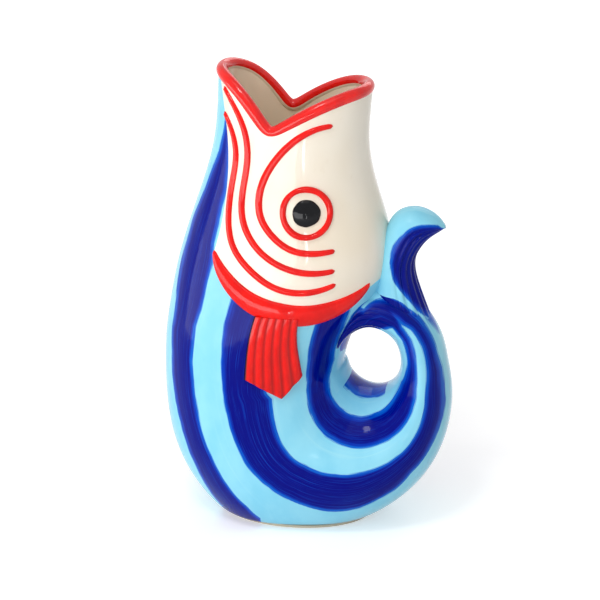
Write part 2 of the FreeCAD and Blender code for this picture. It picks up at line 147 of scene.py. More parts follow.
# ---- painted stripes: edges in X and Z, from the chest side inwards ----
# Between edge 0 and 1, 2 and 3, and 4 and 5 the glaze is cobalt, and elsewhere it is pale blue.
STRIPE_EDGES = [
    [(-46.5, 262), (-50.4, 240.7), (-57.3, 224), (-64, 206), (-69.4, 193), (-73.7, 178), (-76.5, 163.7),
     (-78.4, 148), (-79.9, 133.6), (-81, 127), (-80, 113.6), (-79.4, 97.8), (-77.3, 82.8), (-74, 67.8),
     (-69.8, 52), (-64.3, 38), (-57.6, 22), (-50.2, 7.8)],
    [(-42.9, 243), (-42.7, 231), (-43.2, 220), (-46, 207.5), (-48.3, 196), (-50.2, 186), (-50.5, 176.6),
     (-54, 160.8), (-56.8, 147), (-60.6, 134.8), (-62.5, 114), (-61.7, 99.4), (-59.6, 81.8), (-56, 66.4),
     (-51, 52.4), (-45.6, 38.9), (-38.5, 26.4), (-30.2, 16.9), (-22.8, 7.6)],
    [(-39.7, 150), (-42, 140), (-43.3, 124), (-43.4, 108), (-42.2, 95.6), (-39.8, 83), (-36.3, 69),
     (-31.5, 56), (-24.3, 44), (-14.9, 35), (-2.8, 27.4), (8.7, 21.4), (20.6, 18.2), (30.2, 17.7),
     (39.4, 19.4), (50.3, 24.8), (60.6, 31.5), (70, 42.4), (79.2, 54.6), (85.3, 68.5), (87.6, 82),
     (87.3, 95), (86.2, 106.4), (83.3, 115.8), (79.4, 125.9), (73.6, 135.1), (67.4, 142.6), (61, 148.6),
     (54.5, 151), (48, 151), (44.6, 150.5), (41.6, 148.5), (38.2, 145.4)],
    [(-15.8, 98), (-12.4, 94), (-11.8, 86), (-9.9, 76), (-6.3, 65.8), (-0.1, 57), (8, 51), (17.8, 47),
     (28.7, 45.5), (40.4, 46.3), (51, 50), (61.4, 56.4), (69.4, 64.6), (74.8, 75.4), (77.4, 86), (77.4, 96),
     (77, 108.9), (76.2, 114.1), (74.9, 119.4), (72.7, 124.6), (70.2, 128.8), (67.1, 132.6), (61.8, 135.5)],
    [(12, 140), (9.5, 130.6), (7.3, 116.7), (6.5, 101), (7, 87.8), (9.8, 79.6), (15, 71), (22.6, 65.4),
     (32.3, 61.7), (42, 61), (51.7, 63.8), (60.8, 69.5), (67.6, 78), (70.9, 87.3), (72.2, 98), (72.2, 109),
     (71.4, 115.8), (70, 121), (67.8, 126), (65, 130.5), (61.9, 135.2)],
    [(31.9, 149), (20.3, 110), (18.3, 103), (18.3, 93.6), (20.6, 87), (26, 80.7), (32.2, 77.5),
     (38.5, 76.5), (45.7, 78.3), (52.8, 82.5), (58, 90), (61, 97.7), (63.3, 102.8), (64.5, 109.1),
     (64.4, 114.9), (63.1, 120.3), (61.1, 124.8), (57.9, 128.7), (55.3, 132.3)],
]


# ---- smooth curves and skins ----
def unit(values):
    return np.clip(values, 0.0, 1.0)


def direction(vectors):
    return vectors / np.linalg.norm(vectors, axis=-1, keepdims=True)


def end_slope(places, values, at):
    """Slope of the cubic through four rows."""
    fit = np.polyfit(places - at, values.reshape(4, -1), 3)
    return fit[2].reshape(values.shape[1:])


class Spline:
    """Cubic spline through rows of values."""

    def __init__(self, places, values):
        self.places = np.asarray(places, float)
        self.values = np.asarray(values, float)
        count = len(self.places)
        gaps = np.diff(self.places)
        matrix = np.eye(count)
        right = np.zeros_like(self.values)
        right[0] = end_slope(self.places[:4], self.values[:4], self.places[0])
        right[-1] = end_slope(self.places[-4:], self.values[-4:], self.places[-1])
        for k in range(1, count - 1):
            before, after = gaps[k - 1], gaps[k]
            matrix[k, k - 1:k + 2] = after, 2.0 * (before + after), before
            rise = (self.values[k] - self.values[k - 1]) / before * after
            right[k] = 3.0 * (rise + (self.values[k + 1] - self.values[k]) / after * before)
        self.slopes = np.linalg.solve(matrix, right.reshape(count, -1)).reshape(self.values.shape)

    def at(self, place):
        """Values and slopes, run on straight past the ends."""
        place = np.asarray(place, float)
        inside = np.clip(place, self.places[0], self.places[-1])
        k = np.clip(np.searchsorted(self.places, inside, side="right") - 1, 0, len(self.places) - 2)
        gap = self.places[k + 1] - self.places[k]
        share = (inside - self.places[k]) / gap
        extra = (Ellipsis,) + (None,) * (self.values.ndim - 1)
        gap, share, over = gap[extra], share[extra], (place - inside)[extra]
        low, high = self.values[k], self.values[k + 1]
        start, end = self.slopes[k] * gap, self.slopes[k + 1] * gap
        bend = 3.0 * (high - low) - 2.0 * start - end
        twist = 2.0 * (low - high) + start + end
        value = low + share * (start + share * (bend + share * twist))
        slope = (start + share * (2.0 * bend + share * 3.0 * twist)) / gap
        return value + slope * over, slope


def through(points):
    """Spline through points in a plane or in space, by the distance along them."""
    points = np.asarray(points, float)
    steps = np.linalg.norm(np.diff(points, axis=0), axis=1)
    return Spline(np.concatenate([[0.0], np.cumsum(steps)]), points)


def smooth_floor(z, low, softness):
    """z kept above low with a soft corner, and its slope."""
    over = z - low
    root = np.sqrt(over * over + softness * softness)
    return low + 0.5 * (over + root), 0.5 * (1.0 + over / root)


FIRST_PLACES, FIRST_SHARES = 400, 21  # grid of first guesses
OFF = 1.3  # a share past the skin, where there is nothing to paint


class Skin:
    """Surface through ovals. A row is its middle, its reach along Y and its reach in the XZ plane."""

    def __init__(self, rows, low=None, softness=1.0):
        rows = np.asarray(rows, float)
        angles = (TAU * np.arange(12) / 12)[:, None]
        rings = rows[:, None, 0] + rows[:, None, 1] * np.cos(angles) + rows[:, None, 2] * np.sin(angles)
        steps = np.linalg.norm(np.diff(rings, axis=0), axis=2).mean(1)
        self.curve = Spline(np.concatenate([[0.0], np.cumsum(steps)]), rows)
        self.places = self.curve.places
        self.low = low
        self.softness = softness

    def tangents(self, t, angle, flat=True):
        rows, slopes = self.curve.at(t)
        cosine, sine = np.cos(angle)[..., None], np.sin(angle)[..., None]
        point = rows[..., 0, :] + rows[..., 1, :] * cosine + rows[..., 2, :] * sine
        along = slopes[..., 0, :] + slopes[..., 1, :] * cosine + slopes[..., 2, :] * sine
        around = rows[..., 2, :] * cosine - rows[..., 1, :] * sine
        if flat and self.low is not None:
            point[..., 2], gain = smooth_floor(point[..., 2], self.low, self.softness)
            along[..., 2] *= gain
            around[..., 2] *= gain
        return point, along, around

    def at(self, t, angle):
        """Point and outward normal."""
        point, along, around = self.tangents(t, angle)
        normal = np.cross(along, around)
        normal /= np.maximum(np.linalg.norm(normal, axis=-1, keepdims=True), 1e-9)
        return point, normal

    def reach(self, t):
        """Half of the width in the XZ plane."""
        rows, _ = self.curve.at(t)
        return np.linalg.norm(rows[:, 2], axis=1)

    def find(self, x, z, low=-math.inf, high=math.inf):
        """Place between low and high, and share across, of points given by x and z."""
        x, z = np.atleast_1d(np.asarray(x, float)), np.atleast_1d(np.asarray(z, float))
        low, high = max(low, self.places[0]), min(high, self.places[-1])
        t_grid = np.linspace(low, high, FIRST_PLACES)
        rows, _ = self.curve.at(t_grid)
        shares = np.linspace(-1.0, 1.0, FIRST_SHARES)
        table = rows[:, None, 0, ::2] + rows[:, None, 2, ::2] * shares[:, None]
        gap = np.hypot(table[None, ..., 0] - x[:, None, None], table[None, ..., 1] - z[:, None, None])
        best = gap.reshape(len(x), -1).argmin(1)
        t, share = t_grid[best // FIRST_SHARES].copy(), shares[best % FIRST_SHARES].copy()
        for _ in range(12):
            rows, slopes = self.curve.at(t)
            point = rows[:, 0, ::2] + rows[:, 2, ::2] * share[:, None]
            step_t = slopes[:, 0, ::2] + slopes[:, 2, ::2] * share[:, None]
            step_s = rows[:, 2, ::2]
            miss = np.stack([x, z], 1) - point
            det = step_t[:, 0] * step_s[:, 1] - step_t[:, 1] * step_s[:, 0]
            t = t + (miss[:, 0] * step_s[:, 1] - miss[:, 1] * step_s[:, 0]) / det
            t = np.clip(t, low - 20.0, high + 20.0)
            share += np.clip((step_t[:, 0] * miss[:, 1] - step_t[:, 1] * miss[:, 0]) / det, -0.3, 0.3)
            share = np.clip(share, -OFF, OFF)
        return t, share

    def on_side(self, x, z):
        """Place and angle on the -Y side."""
        t, share = self.find(x, z, high=TRUNK_END)
        return t, math.pi - np.arcsin(np.clip(share, -0.9999, 0.9999))

    def nearest(self, target, t, angle):
        """Foot of the perpendicular from each target, started at t and angle."""
        t, angle = np.array(t, float), np.array(angle, float)
        for _ in range(8):
            point, along, around = self.tangents(t, angle, flat=False)
            miss = target - point
            aa, ab, bb = (along * along).sum(-1), (along * around).sum(-1), (around * around).sum(-1)
            ra, rb = (along * miss).sum(-1), (around * miss).sum(-1)
            det = aa * bb - ab * ab
            t += np.clip((ra * bb - rb * ab) / det, -8.0, 8.0)
            angle += np.clip((rb * aa - ra * ab) / det, -0.2, 0.2)
        return t, angle


def oval_row(outer, inner, half_width):
    outer, inner = np.asarray(outer, float), np.asarray(inner, float)
    return [(outer + inner) / 2.0, np.array([0.0, half_width, 0.0]), (outer - inner) / 2.0]


def level_row(level, grow):
    z, chest, back, half_width = level
    return oval_row((chest - grow, 0, z), (back + grow, 0, z), half_width + grow)


def turn_row(turn, grow, back=0.0):
    angle, reach, half_width = turn
    way = np.array([-math.cos(math.radians(angle)), 0.0, -math.sin(math.radians(angle))])
    inner = 1.0 / math.hypot(way[0] / LOOP_HALF_LENGTH, way[2] / LOOP_HALF_HEIGHT)
    return oval_row(LOOP + way * (reach + grow), LOOP + way * (inner - grow + back), half_width + grow)


def curl_rows(grow, turns):
    return [level_row(level, grow) for level in LEVELS] + [turn_row(turn, grow) for turn in turns]


FLUKE_ROWS = [turn_row(turn[:3], 0.0, turn[3]) for turn in LOWER_FLUKE]
OUTSIDE = Skin(curl_rows(0.0, TURNS) + FLUKE_ROWS, FOOT_TOP, 1.6)
INSIDE = Skin(curl_rows(-WALL, TURNS[:HOLLOW_TURNS]), FLOOR_TOP, 5.0)
UPPER = Skin([oval_row((ox, 0, oz), (ix, 0, iz), width) for ox, oz, ix, iz, width in UPPER_FLUKE])
TAIL_END = OUTSIDE.places[len(LEVELS) + len(TURNS) - 1]
TRUNK_END = OUTSIDE.places[len(LEVELS) + 3]


# ---- edges of the painted and joined areas ----
def as_function(points, over):
    """Table of a curve's other coordinate over the one named: 0 is x and 1 is z."""
    curve = through(points)
    points, _ = curve.at(np.linspace(curve.places[0], curve.places[-1], TABLE_ROWS))
    order = np.argsort(points[:, over])
    return points[order, over], points[order, 1 - over]


TABLE_ROWS = 400
CHEST_TABLE = as_function(CHEST_EDGE, 1)
GILL_TABLE = as_function(GILL_EDGE, 0)
LIP_TABLE = as_function(LIP_LINE, 0)


def head_field(x, z):
    """Over zero on the head, in millimetres from its edge."""
    from_chest = x - np.interp(z, *CHEST_TABLE)
    from_gill = z - np.interp(x, *GILL_TABLE)
    return np.minimum(from_chest, from_gill)


def mouth_field(x, z):
    """Over zero below the line of the lip."""
    return np.interp(x, *LIP_TABLE) - z


class Sheet:
    """Part of a skin: faces over corners that are given by place and angle."""

    def __init__(self, skin, t, angle, faces):
        self.skin, self.faces = skin, faces
        self.t, self.angle = np.asarray(t, float), np.asarray(angle, float)

    def points(self):
        return self.skin.at(self.t, self.angle)

    def cut(self, field, side=1.0):
        """The part where side * field(x, z) is over zero, with its edge on the true line."""

        def is_over(t, angle):
            point, _ = self.skin.at(t, angle)
            return side * field(point[:, 0], point[:, 2]) > 0.0

        over = is_over(self.t, self.angle)
        pairs = set()
        for face in self.faces:
            if over[list(face)].any() and not over[list(face)].all():
                sides = zip(face, face[1:] + face[:1])
                pairs |= {(min(a, b), max(a, b)) for a, b in sides if over[a] != over[b]}
        pairs = sorted(pairs)
        number = {pair: len(self.t) + k for k, pair in enumerate(pairs)}
        one, other = np.array([a for a, b in pairs], int), np.array([b for a, b in pairs], int)
        turn = (self.angle[other] - self.angle[one] + math.pi) % TAU - math.pi
        low, high = np.zeros(len(pairs)), np.ones(len(pairs))
        for _ in range(14):
            share = 0.5 * (low + high)
            t = self.t[one] + (self.t[other] - self.t[one]) * share
            angle = self.angle[one] + turn * share
            same = is_over(t, angle) == over[one]
            low, high = np.where(same, share, low), np.where(same, high, share)

        faces = []
        for face in self.faces:
            flags = over[list(face)]
            if flags.all():
                faces.append(face)
            elif flags.any():
                corners = []
                for a, b in zip(face, face[1:] + face[:1]):
                    if over[a]:
                        corners.append(a)
                    if over[a] != over[b]:
                        corners.append(number[min(a, b), max(a, b)])
                faces.append(tuple(corners))
        t, angle = np.concatenate([self.t, t]), np.concatenate([self.angle, angle])
        return Sheet(self.skin, t, angle, faces).compact()

    def compact(self):
        used = np.zeros(len(self.t), bool)
        for face in self.faces:
            used[list(face)] = True
        number = np.cumsum(used) - 1
        faces = [tuple(int(number[k]) for k in face) for face in self.faces]
        return Sheet(self.skin, self.t[used], self.angle[used], faces)


def grid_faces(rows, columns, closed):
    """Quads over a grid, whose columns may close round."""
    faces = []
    for base in range(0, (rows - 1) * columns, columns):
        for column in range(columns if closed else columns - 1):
            one, other = base + column, base + (column + 1) % columns
            faces.append((one, one + columns, other + columns, other))
    return faces


def sheet_of(skin, start, end, rows, columns):
    t = np.repeat(np.linspace(start, end, rows), columns)
    angle = np.tile(TAU * np.arange(columns) / columns, rows)
    return Sheet(skin, t, angle, grid_faces(rows, columns, True))


# ---- paint: what the glaze's materials read ----
EDGE_STRIDE = 48.0  # how far along the curl an edge's next point may lie
# Within this length past its end, an edge moves by its own share, to leave the skin or to stay.
LEAVE_LENGTH = 25.0
EDGE_LEAVES = (1.5, 1.5, 1.2, 0.0, 1.2, -1.5)
HOLE_DARK = (258.0, 352.0)  # where along the curl the loop's inside is cobalt,
HOLE_SHARE = -0.955  # and from which share
LAP_OFF = -1.2  # the share of the lap's edge past its ends
LANE_END = 1.6  # the share at which the first and last lane end
LEAST_LANE = 1e-3
UPPER_LANES, UPPER_FIRST_LANE = 2.0, 9.0
UPPER_ALONG = 40.0


def edge_on(skin, points, low=-math.inf, high=math.inf):
    """Places and shares of points that follow each other, the first of them between low and high."""
    found = []
    for x, z in points:
        t, share = skin.find(x, z, low, high)
        found.append((t[0], share[0]))
        low, high = t[0], t[0] + EDGE_STRIDE
    found = np.array(found)
    order = np.argsort(found[:, 0])
    return found[order, 0], found[order, 1]


STRIPES = [edge_on(OUTSIDE, points, high=TRUNK_END) for points in STRIPE_EDGES]


def stripe_shares(t):
    """Shares across the curl of the stripes' edges, one row for each edge, at each place."""
    rows = []
    for (places, shares), leave in zip(STRIPES, EDGE_LEAVES):
        rows.append(np.interp(t, places, shares) + unit((t - places[-1]) / LEAVE_LENGTH) * leave)
    rows[4] = np.minimum(rows[4], rows[2])  # past its end, edge 4 stays within the stripe outside it
    return np.stack(rows)


# The upper fluke's cobalt runs out along the tail's back, and the lower fluke's laps onto the body.
BACK_EDGE_POINTS = [
    (88.8, 110), (86.6, 116.6), (84, 121.5), (81.4, 125.9), (79, 129.8), (76, 133.8), (72.9, 138.2),
    (68.5, 143.7),
]
LAP_EDGE_POINTS = [
    (43.6, 150.4), (40.2, 149.4), (35.6, 147), (31.6, 141.9), (27.8, 134.1), (24.6, 124), (22.6, 116),
    (24.4, 110),
]
BACK_EDGE = edge_on(OUTSIDE, BACK_EDGE_POINTS, low=TAIL_END - EDGE_STRIDE)
LAP_EDGE = edge_on(OUTSIDE, LAP_EDGE_POINTS, high=TRUNK_END)


def paint_of_curl(t, angle):
    """Attributes on the long curl: distance inside the cobalt, lane across and distance along."""
    share = np.sin(angle)
    edges = stripe_shares(t)
    hole = np.where((t > HOLE_DARK[0]) & (t < HOLE_DARK[1]), HOLE_SHARE, -OFF)
    low = np.stack([edges[1], edges[3], edges[5], np.full_like(t, -2.0)])
    high = np.stack([edges[0], edges[2], edges[4], hole])
    inside = np.minimum(high - share, share - low)
    back = share - np.interp(t, *BACK_EDGE, left=OFF, right=OFF)
    lap = np.interp(t, *LAP_EDGE, left=LAP_OFF, right=LAP_OFF) - share
    dark = np.maximum(np.maximum(inside.max(0), back), lap) * OUTSIDE.reach(t)
    ends = np.full((1, len(t)), LANE_END)
    ladder = np.concatenate([ends, edges, hole[None], -ends])
    lane = np.zeros_like(t)
    for high, low in zip(ladder, ladder[1:]):
        part = unit((high - share) / np.maximum(high - low, LEAST_LANE))
        lane += part * (np.abs(high - low) > LEAST_LANE)
    return dark, lane, t


UPPER_EDGE_POINTS = [
    (81.4, 125.9), (76.5, 133.6), (72.9, 138.2), (68.5, 143.7), (64.8, 148.5), (60.5, 154.2), (57.5, 158.3),
    (54.9, 163.2), (53.4, 168.2), (52.4, 173.7), (52.8, 179.1), (54.2, 183.8), (56.4, 187.9), (60, 191.9),
    (64.4, 195.4), (68, 196.9), (73, 197.4), (77.2, 196.9), (80.3, 196), (83.3, 193),
]
UPPER_LOW_POINTS = [(73.6, 135.1), (67.4, 142.6), (61, 148.6), (55.5, 151.2), (52.5, 151.4)]
UPPER_EDGE = edge_on(UPPER, UPPER_EDGE_POINTS)
UPPER_LOW_EDGE = edge_on(UPPER, UPPER_LOW_POINTS)


def paint_of_upper(t, angle):
    """The same attributes on the upper fluke, whose outer half is cobalt."""
    share = np.sin(angle)
    low = np.interp(t, *UPPER_LOW_EDGE, right=-OFF) - share
    dark = np.maximum(share - np.interp(t, *UPPER_EDGE), low) * UPPER.reach(t)
    return dark, share * UPPER_LANES + UPPER_FIRST_LANE, t + UPPER_ALONG


# ---- materials ----
def put(node, **values):
    """Values of a node's inputs, by name with _ for a space."""
    for name, value in values.items():
        node.inputs[name.replace("_", " ")].default_value = value


class Shader:
    """A node material, built up by name."""

    def __init__(self, name):
        self.material = bpy.data.materials.new(name)
        self.material.use_nodes = True
        self.tree = self.material.node_tree
        self.tree.nodes.clear()
        self.surface = self.node("ShaderNodeBsdfPrincipled")
        self.output = self.node("ShaderNodeOutputMaterial")
        self.link(self.surface.outputs[0], self.output.inputs["Surface"])

    def node(self, kind, **settings):
        made = self.tree.nodes.new(kind)
        for key, value in settings.items():
            setattr(made, key, value)
        return made

    def link(self, source, target):
        self.tree.links.new(source, target)

    def feed(self, socket, value):
        if isinstance(value, bpy.types.NodeSocket):
            self.link(value, socket)
        else:
            socket.default_value = value

    def attribute(self, name):
        return self.node("ShaderNodeAttribute", attribute_name=name).outputs["Fac"]

    def math(self, operation, *values, clamp=False):
        made = self.node("ShaderNodeMath", operation=operation, use_clamp=clamp)
        for socket, value in zip(made.inputs, values):
            self.feed(socket, value)
        return made.outputs[0]

    def times(self, one, other):
        return self.math("MULTIPLY", one, other)

    def plus(self, one, other):
        return self.math("ADD", one, other)

    def vector(self, x, y, z):
        made = self.node("ShaderNodeCombineXYZ")
        for socket, value in zip(made.inputs, (x, y, z)):
            self.feed(socket, value)
        return made.outputs[0]

    def place(self, scale):
        """Position in millimetres over a scale, which may differ by axis."""
        made = self.node("ShaderNodeMapping")
        self.link(self.node("ShaderNodeTexCoord").outputs["Object"], made.inputs["Vector"])
        put(made, Scale=[1.0 / (MM * size) for size in scale])
        return made.outputs[0]

    def noise(self, vector, detail=3.0, roughness=0.5, distortion=0.0):
        made = self.node("ShaderNodeTexNoise")
        self.link(vector, made.inputs["Vector"])
        put(made, Scale=1.0, Detail=detail, Roughness=roughness, Distortion=distortion)
        return made.outputs["Fac"]

    def cloud(self, scale, detail=2.0, roughness=0.5):
        """Noise over the position, in millimetres."""
        return self.noise(self.place(scale), detail, roughness)

    def step(self, value, low, high):
        made = self.node("ShaderNodeMapRange", interpolation_type="SMOOTHSTEP")
        self.feed(made.inputs["Value"], value)
        put(made, From_Min=low, From_Max=high)
        return made.outputs["Result"]

    def blend(self, share, one, other):
        made = self.node("ShaderNodeMix", data_type="RGBA")
        self.feed(made.inputs["Factor"], share)
        for socket, value in ((made.inputs["A"], one), (made.inputs["B"], other)):
            self.feed(socket, value if isinstance(value, bpy.types.NodeSocket) else (*value, 1.0))
        return made.outputs["Result"]

    def finish(self, colour, relief=None, depth=0.02, roughness=0.07, gloss=0.5):
        """Colour, and relief as a bump of that depth in millimetres."""
        self.link(colour, self.surface.inputs["Base Color"])
        put(self.surface, Roughness=roughness, Specular_IOR_Level=gloss)
        if relief is not None:
            bump = self.node("ShaderNodeBump")
            put(bump, Distance=depth * MM)
            self.link(relief, bump.inputs["Height"])
            self.link(bump.outputs["Normal"], self.surface.inputs["Normal"])
        return self.material


def rgb(red, green, blue):
    """Linear colour from the 0 to 255 that a picture shows."""
    shown = (red, green, blue)
    return tuple(v / 255.0 / 12.92 if v <= 10 else ((v / 255.0 + 0.055) / 1.055) ** 2.4 for v in shown)


LINING = rgb(252, 236, 211)


def cream_glaze():
    shader = Shader("cream_glaze")
    drift = shader.cloud((38, 38, 60))
    pool = shader.cloud((9, 9, 14), detail=4.0)
    colour = shader.blend(shader.step(drift, 0.3, 0.72), rgb(246, 238, 223), rgb(240, 228, 207))
    colour = shader.blend(shader.times(shader.step(pool, 0.62, 0.8), 0.3), colour, rgb(228, 214, 190))
    colour = shader.blend(shader.attribute("lining"), colour, LINING)
    ripple = shader.cloud((17, 17, 26))
    return shader.finish(colour, ripple, 0.16, gloss=0.32)


def striped_glaze(name, seed):
    """Cobalt brushed over pale blue. dark is how far inside a stripe the point is, in millimetres."""
    shader = Shader(name)
    dark, lane, along, side = (shader.attribute(word) for word in ("dark", "lane", "along", "side"))
    depth = shader.plus(shader.times(side, 11.0), seed)

    def strokes(length, across, **settings):
        """Noise drawn out along the stripes."""
        place = shader.vector(shader.times(along, length), shader.times(lane, across), depth)
        return shader.noise(place, **settings)

    brush = strokes(0.012, 15.0, detail=5.0, roughness=0.62, distortion=0.25)
    hairs = strokes(0.03, 42.0, roughness=0.6)
    hand = shader.cloud((24, 24, 24))
    wobble = shader.times(shader.math("SUBTRACT", hand, 0.5), 3.0)
    ragged = shader.times(shader.math("SUBTRACT", hairs, 0.5), 2.6)
    reach = shader.plus(shader.plus(dark, wobble), ragged)
    mask = shader.step(reach, -0.45, 0.45)
    rim = shader.step(reach, 0.3, 4.2)
    load = shader.plus(shader.times(rim, 0.55), shader.times(brush, 0.9))
    thin = shader.blend(shader.step(load, 0.38, 0.72), rgb(10, 100, 205), rgb(1, 50, 176))
    cobalt = shader.blend(shader.step(load, 0.66, 1.0), thin, rgb(0, 8, 128))
    cobalt = shader.blend(shader.times(shader.step(hairs, 0.52, 0.72), 0.6), cobalt, rgb(2, 66, 188))
    pool = shader.cloud((15, 15, 22), detail=3.0)
    wash = strokes(0.008, 5.0)
    pale = shader.blend(shader.step(pool, 0.3, 0.75), rgb(136, 213, 238), rgb(150, 221, 242))
    pale = shader.blend(shader.times(shader.step(wash, 0.55, 0.8), 0.5), pale, rgb(172, 230, 243))
    colour = shader.blend(shader.attribute("lining"), shader.blend(mask, pale, cobalt), LINING)
    ripple = shader.cloud((15, 15, 24))
    relief = shader.plus(shader.times(ripple, 5.0), shader.times(brush, mask))
    return shader.finish(colour, relief, 0.035, gloss=0.08)


def red_glaze(name, grooved=False, lined=False):
    shader = Shader(name)
    drift = shader.cloud((10, 10, 14), detail=4.0)
    fine = shader.cloud((3.2, 3.2, 5), detail=3.0)
    colour = shader.blend(shader.step(drift, 0.32, 0.72), rgb(226, 5, 1), rgb(246, 14, 3))
    colour = shader.blend(shader.times(shader.step(fine, 0.55, 0.85), 0.45), colour, rgb(250, 50, 16))
    if grooved:
        crest = shader.attribute("crest")
        # In the fin's grooves, where crest is low, the red is painted darker: painted shade in the
        # recesses.
        colour = shader.blend(shader.step(crest, 0.05, 0.75), rgb(194, 3, 1), colour)
        # Where crest is near -1, along the fin's front edge, the red turns near-black: a painted outline,
        # partly painted contact shadow.
        colour = shader.blend(shader.step(crest, -0.9, -0.4), rgb(38, 4, 22), colour)
    if lined:
        colour = shader.blend(shader.step(shader.attribute("lining"), 0.42, 0.58), colour, LINING)
    ripple = shader.cloud((6, 6, 8))
    return shader.finish(colour, ripple, 0.12, gloss=0.4 if lined else 0.24)


def black_glaze():
    shader = Shader("black_glaze")
    drift = shader.cloud((4, 4, 4), detail=3.0)
    return shader.finish(shader.blend(drift, rgb(5, 5, 8), rgb(18, 18, 24)), drift, 0.1, 0.05, 0.2)


def bare_clay():
    shader = Shader("bare_clay")
    grain = shader.cloud((1.1, 1.1, 1.1), detail=6.0, roughness=0.7)
    stain = shader.cloud((14, 14, 14), detail=3.0)
    colour = shader.blend(grain, rgb(196, 182, 158), rgb(222, 211, 190))
    colour = shader.blend(shader.times(stain, 0.4), colour, rgb(170, 150, 122))
    return shader.finish(colour, grain, 0.25, 0.75)


CREAM = cream_glaze()
STRIPED = striped_glaze("striped_glaze", 0.0)
FLUKE_GLAZE = striped_glaze("fluke_glaze", 4.3)
RED = red_glaze("red_glaze")
RED_FIN = red_glaze("red_fin_glaze", grooved=True)
RED_LIP = red_glaze("red_lip_glaze", lined=True)
BLACK = black_glaze()
CLAY = bare_clay()


# ---- pieces ----
class Shape:
    """Corners in millimetres with their normals, faces, and attributes by name."""

    def __init__(self, points, faces, normals=None, **paint):
        self.points, self.normals, self.paint = points, normals, paint
        self.faces = [tuple(face) for face in faces]

    def flipped(self):
        normals = None if self.normals is None else -self.normals
        return Shape(self.points, [face[::-1] for face in self.faces], normals, **self.paint)

    def mirrored(self):
        normals = None if self.normals is None else self.normals * MIRROR
        return Shape(self.points * MIRROR, [face[::-1] for face in self.faces], normals, **self.paint)

    def joined(self, other):
        base = len(self.points)
        faces = self.faces + [tuple(base + k for k in face) for face in other.faces]
        normals = None if self.normals is None else np.concatenate([self.normals, other.normals])
        paint = {key: np.concatenate([self.paint[key], other.paint[key]]) for key in self.paint}
        return Shape(np.concatenate([self.points, other.points]), faces, normals, **paint)


def add(name, data):
    made = bpy.data.objects.new(name, data)
    bpy.context.scene.collection.objects.link(made)
    return made


def piece(name, shape, material, slot, *nodes):
    """Replaces nodes by a shape, which rides their body."""
    mesh = bpy.data.meshes.new(name)
    mesh.from_pydata((shape.points * MM).tolist(), [], shape.faces)
    mesh.shade_smooth()
    for key, values in shape.paint.items():
        mesh.attributes.new(key, "FLOAT", "POINT").data.foreach_set("value", np.asarray(values, np.float32))
    if shape.normals is not None:
        mesh.normals_split_custom_set_from_vertices(shape.normals.tolist())
    mesh.materials.append(material)
    mesh.update()
    made = add(name, mesh)
    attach(made, "root")
    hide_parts(*nodes)


def both_sides(name, shape, material, slot, node):
    piece(name + "_left", shape, material, slot, node + "_left")
    piece(name + "_right", shape.mirrored(), material, slot, node + "_right")


def striped(points, faces, normals, paint):
    """A shape with stripes. paint has its dark, lane and along."""
    dark, lane, along = paint
    side, lining = np.sign(points[:, 1]), np.zeros(len(points))
    return Shape(points, faces, normals, dark=dark, lane=lane, along=along, side=side, lining=lining)


def plain(sheet, lining=0.0):
    points, normals = sheet.points()
    return Shape(points, sheet.faces, normals, lining=np.full(len(points), lining))


def striped_lining(sheet):
    """The hollow's side of a striped sheet, which has no stripes."""
    shape = plain(sheet, 1.0).flipped()
    none = np.zeros(len(shape.points))
    shape.paint.update(dark=none, lane=none, along=none, side=none)
    return shape


def make_trunk():
    outer = sheet_of(OUTSIDE, 0.0, TAIL_END, *BODY_GRID).cut(mouth_field)
    inner = sheet_of(INSIDE, 0.0, INSIDE.places[-1], *LINING_GRID).cut(mouth_field)
    skin = outer.cut(head_field, -1.0)
    points, normals = skin.points()
    body = striped(points, skin.faces, normals, paint_of_curl(skin.t, skin.angle))
    body = body.joined(striped_lining(inner.cut(head_field, -1.0)))
    replaced = "chest_shell", "belly_shell", "base_shell", "tail_root_shell", "tail_tube"
    piece("Glazed_body", body, STRIPED, "stripes", *replaced)
    head = plain(outer.cut(head_field)).joined(plain(inner.cut(head_field), 1.0).flipped())
    piece("Glazed_head", head, CREAM, "cream", "head_shell")


def grooved(skin, t, angle, depth, count, reach):
    """Points of a skin with grooves that run along its flanks."""
    point, normal = skin.at(t, angle)
    window = unit((np.sin(angle) - reach) / 0.3)
    groove = (0.5 - 0.5 * np.cos(count * angle)) ** 1.5
    return point - normal * (depth * window * groove)[..., None]


def rounded_end(ring, way, depth, steps=7):
    """Rings that close the end of a form with a low dome, and their normals."""
    middle = ring.mean(0)
    turn = np.linspace(0.0, math.pi / 2, steps + 1)[1:, None, None]
    turn[-1] *= 0.98
    rings = middle + (ring - middle) * np.cos(turn) + way * depth * np.sin(turn)
    normals = direction(ring - middle) * np.cos(turn) + way * np.sin(turn)
    return rings.reshape(-1, 3), normals.reshape(-1, 3)


def fluke_shape(skin, start, end, grid, paint, dome, depth_at, count, reach):
    """Closed form on a skin, with count grooves that are depth_at deep, where the share is over reach."""
    rows, columns = grid
    sheet = sheet_of(skin, start, end, rows, columns)
    t, angle, gap = sheet.t, sheet.angle, 0.02

    def at(t, angle):
        return grooved(skin, t, angle, depth_at(t), count, reach)

    points = at(t, angle)
    along = at(t + gap, angle) - at(t - gap, angle)
    around = at(t, angle + gap / 20) - at(t, angle - gap / 20)
    normals = np.cross(along, around)
    normals /= np.maximum(np.linalg.norm(normals, axis=1, keepdims=True), 1e-12)
    cap, cap_normals = rounded_end(points[-columns:], direction(along[-columns:].mean(0)), dome)
    steps = len(cap) // columns
    t = np.concatenate([t, np.full(len(cap), end)])
    angle = np.concatenate([angle, np.tile(angle[:columns], steps)])
    faces = grid_faces(rows + steps, columns, True)
    faces.append(tuple((rows + steps - 1) * columns + k for k in range(columns)))
    points, normals = np.concatenate([points, cap]), np.concatenate([normals, cap_normals])
    return striped(points, faces, normals, paint(t, angle))


def fade(t, start, rise, end, fall):
    return unit((t - start) / rise) * unit((end - t) / fall)


